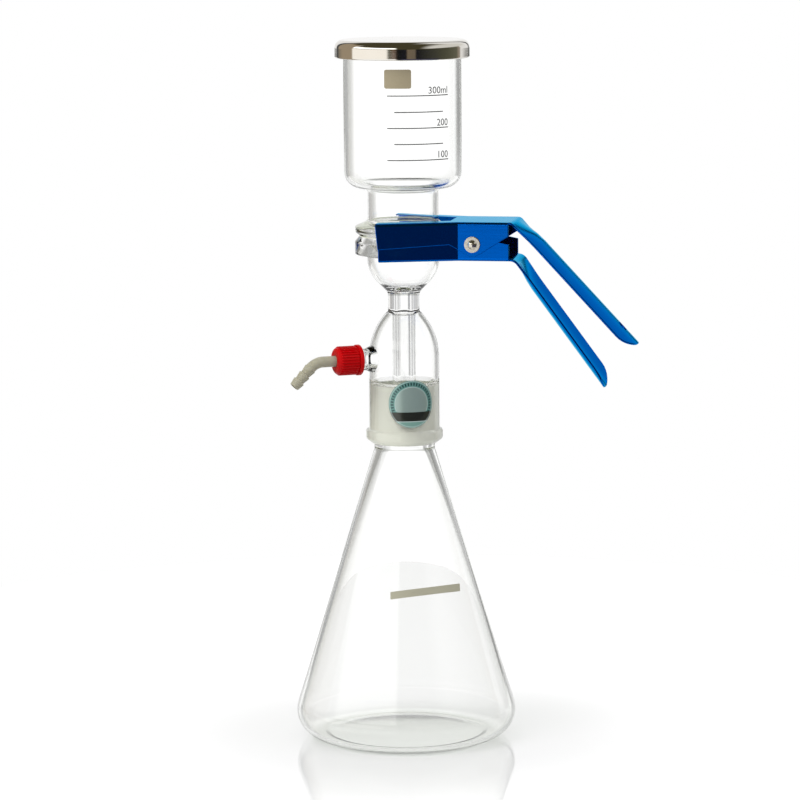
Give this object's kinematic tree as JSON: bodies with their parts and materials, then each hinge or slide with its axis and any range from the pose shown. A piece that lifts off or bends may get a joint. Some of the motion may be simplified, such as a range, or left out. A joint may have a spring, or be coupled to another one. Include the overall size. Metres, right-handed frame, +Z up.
{
  "type": "vacuum filtration unit",
  "caption": "Glass vacuum filter: conical receiver flask, ground-jointed filter base with side port, graduated funnel with steel lid, and a sprung two-handled clamp on the flanges.",
  "frame": {"origin": "middle of the flask's foot ring, on the table", "axes": "+Z up along the glass axis; +X from the axis towards the clamp's handles; the clamp's hinge pin lies along Y"},
  "size_m": [0.223, 0.142, 0.452],
  "materials": {
    "glass": "clear borosilicate, ground in the taper joint",
    "sintered_glass": "white porous sintered glass",
    "membrane": "matt white cellulose membrane",
    "polished_steel": "mirror-polished stainless sheet",
    "blue_anodised": "bright blue anodised",
    "steel": "bright nickel-plated",
    "red_plastic": "moulded, satin",
    "silicone": "white silicone",
    "translucent_plastic": "translucent natural polypropylene",
    "label": "printed foil"
  },
  "bodies": {
    "glassware": {"receiver_flask": "glass", "filter_base": "glass", "side_port": "glass", "sintered_disc": "sintered_glass", "membrane_filter": "membrane", "funnel": "glass", "round_label": "label", "pivot_pin": "steel", "pivot_washers": "steel", "clamp_spring": "steel"},
    "lid": {"lid": "polished_steel"},
    "clamp_upper": {"clamp_upper_half": "blue_anodised"},
    "clamp_lower": {"clamp_lower_half": "blue_anodised"},
    "port_insert": {"port_seal": "silicone"},
    "screw_cap": {"screw_cap": "red_plastic"},
    "hose_connector": {"hose_connector": "translucent_plastic"}
  },
  "joints": [
    {"name": "lid_lift", "type": "slide", "parent": "glassware", "child": "lid", "axis": [0, 0, 1], "range_m": [0, 0.03]},
    {"name": "clamp_open", "type": "hinge", "parent": "glassware", "child": "clamp_upper", "pos_m": [0.0484, 0, 0.3234], "axis": [0, 1, 0], "range_deg": [0, 6], "stiffness_Nm_per_rad": 0.6, "springref_deg": -28.65, "deforming": ["clamp_spring"]},
    {"name": "clamp_open_lower", "type": "hinge", "parent": "glassware", "child": "clamp_lower", "pos_m": [0.0484, 0, 0.3234], "axis": [0, -1, 0], "range_deg": [0, 6.1]},
    {"name": "port_slide", "type": "slide", "parent": "glassware", "child": "port_insert", "axis": [-0.8453, -0.5344, 0], "range_m": [0, 0.0101]},
    {"name": "cap_turn", "type": "hinge", "parent": "port_insert", "child": "screw_cap", "pos_m": [-0.03339, -0.02111, 0.2478], "axis": [-0.8453, -0.5344, 0], "range_deg": [0, 1440]},
    {"name": "connector_swivel", "type": "hinge", "parent": "port_insert", "child": "hose_connector", "pos_m": [-0.0404, -0.02554, 0.2478], "axis": [-0.8453, -0.5344, 0], "continuous": true}
  ],
  "couplings": [
    {"joint": "clamp_open_lower", "follows": "clamp_open", "ratio": 1},
    {"joint": "port_slide", "follows": "cap_turn", "m_per_rad": 0.00039789}
  ]
}
